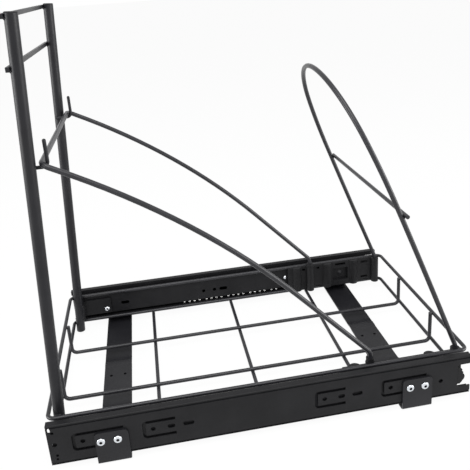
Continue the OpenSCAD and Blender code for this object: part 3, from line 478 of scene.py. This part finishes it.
# Camera at the height and side that the photograph was taken from
shot = {"eye": (715.53, -105.46, 517.15), "right": (0.16559, 0.98394, -0.06664),
        "down": (0.30275, -0.11503, -0.9461), "sensor": 36.0, "lens": 44.994, "shiftY": -0.12766,
        "clipStart": 0.01}


def placeCamera():
    data = bpy.data.cameras.new("photoCamera")
    data.sensor_width = shot["sensor"]
    data.lens = shot["lens"]
    data.shift_y = shot["shiftY"]
    data.clip_start = shot["clipStart"]
    camera = bpy.data.objects.new("photoCamera", data)
    right = Vector(shot["right"]).normalized()
    up = (-Vector(shot["down"])).normalized()
    back = right.cross(up)
    turn = Matrix((right, up, back)).transposed().to_4x4()
    camera.matrix_world = Matrix.Translation(Vector(shot["eye"]) * mm) @ turn
    scene.collection.objects.link(camera)
    scene.camera = camera


placeCamera()

# White studio: pale floor, even white surround and three soft boxes
studio = {"floor": "#fafafa", "floorSize": 40.0, "floorZ": -0.4, "floorGlow": 0.94, "surround": 0.4,
          "shade": "#161616", "shadeY": (70.0, 438.0), "shadeSize": (24.0, 28.0), "shadeZ": -0.2,
          "aim": (0, 0, 0.2),
          "boxes": [("topBox", (0.75, -0.1, 1.75), 1.4, 26.0), ("rearBox", (0.65, 1.9, 0.35), 1.6, 44.0),
                    ("frontBox", (0.3, -2.1, 0.4), 1.5, 46.0)]}


def shownRays(tree):
    rays = addNode(tree, "ShaderNodeLightPath")
    first = addNode(tree, "ShaderNodeMath", {"operation": "MAXIMUM"}, {},
                    {0: rays.outputs["Is Camera Ray"], 1: rays.outputs["Is Glossy Ray"]})
    second = addNode(tree, "ShaderNodeMath", {"operation": "MAXIMUM"}, {},
                     {0: first.outputs["Value"], 1: rays.outputs["Is Transmission Ray"]})
    return second.outputs["Value"]


def makeFloor():
    bm = bmesh.new()
    bmesh.ops.create_grid(bm, x_segments=4, y_segments=4, size=studio["floorSize"] / 2)
    bmesh.ops.translate(bm, verts=bm.verts, vec=(0, 0, studio["floorZ"] * mm))
    mesh = bpy.data.meshes.new("studioFloor")
    bm.to_mesh(mesh)
    bm.free()
    floor = bpy.data.objects.new("studioFloor", mesh)
    scene.collection.objects.link(floor)
    mat, tree, out = startMaterial("paleFloor")[:3]
    paper = addNode(tree, "ShaderNodeBsdfDiffuse", {}, {"Color": linearColour(studio["floor"])})
    glow = addNode(tree, "ShaderNodeEmission", {}, {"Color": (1, 1, 1, 1), "Strength": 1.0})
    share = addNode(tree, "ShaderNodeMath", {"operation": "MULTIPLY"}, {1: studio["floorGlow"]},
                    {0: shownRays(tree)})
    both = addNode(tree, "ShaderNodeMixShader", {}, {},
                   {0: share.outputs["Value"], 1: paper.outputs["BSDF"], 2: glow.outputs["Emission"]})
    tree.links.new(both.outputs["Shader"], out.inputs["Surface"])
    mesh.materials.append(mat)


# A dark sheet on the floor below the straps is a painted shadow, which shows only in their holes
def makeShade():
    bm = bmesh.new()
    size = Matrix.Diagonal((*(Vector(studio["shadeSize"]) * mm), 1.0, 1.0))
    for y in studio["shadeY"]:
        middle = Matrix.Translation(spot(0, y, studio["shadeZ"]))
        bmesh.ops.create_grid(bm, x_segments=1, y_segments=1, size=0.5, matrix=middle @ size)
    mesh = bpy.data.meshes.new("strapShade")
    bm.to_mesh(mesh)
    bm.free()
    shade = bpy.data.objects.new("strapShade", mesh)
    scene.collection.objects.link(shade)
    mat, tree, out = startMaterial("shadedFloor")[:3]
    dim = addNode(tree, "ShaderNodeBsdfDiffuse", {}, {"Color": linearColour(studio["shade"])})
    tree.links.new(dim.outputs["BSDF"], out.inputs["Surface"])
    mesh.materials.append(mat)


def makeSurround():
    world = bpy.data.worlds.new("studioSurround")
    world.use_nodes = True
    tree = world.node_tree
    tree.nodes.clear()
    strength = addNode(tree, "ShaderNodeMapRange", {}, {"To Min": studio["surround"], "To Max": 1.0},
                       {"Value": shownRays(tree)})
    sky = addNode(tree, "ShaderNodeBackground", {}, {"Color": (1, 1, 1, 1)},
                  {"Strength": strength.outputs["Result"]})
    addNode(tree, "ShaderNodeOutputWorld", {}, {}, {"Surface": sky.outputs["Background"]})
    scene.world = world


def makeLamps():
    for name, place, size, power in studio["boxes"]:
        data = bpy.data.lights.new(name, "AREA")
        data.size = size
        data.energy = power
        lamp = bpy.data.objects.new(name, data)
        aim = (Vector(studio["aim"]) - Vector(place)).to_track_quat("-Z", "Y")
        lamp.matrix_world = Matrix.Translation(place) @ aim.to_matrix().to_4x4()
        scene.collection.objects.link(lamp)


makeFloor()
makeShade()
makeSurround()
makeLamps()
scene.view_settings.view_transform = "Standard"
print("studio set")

bpy.context.view_layer.update()
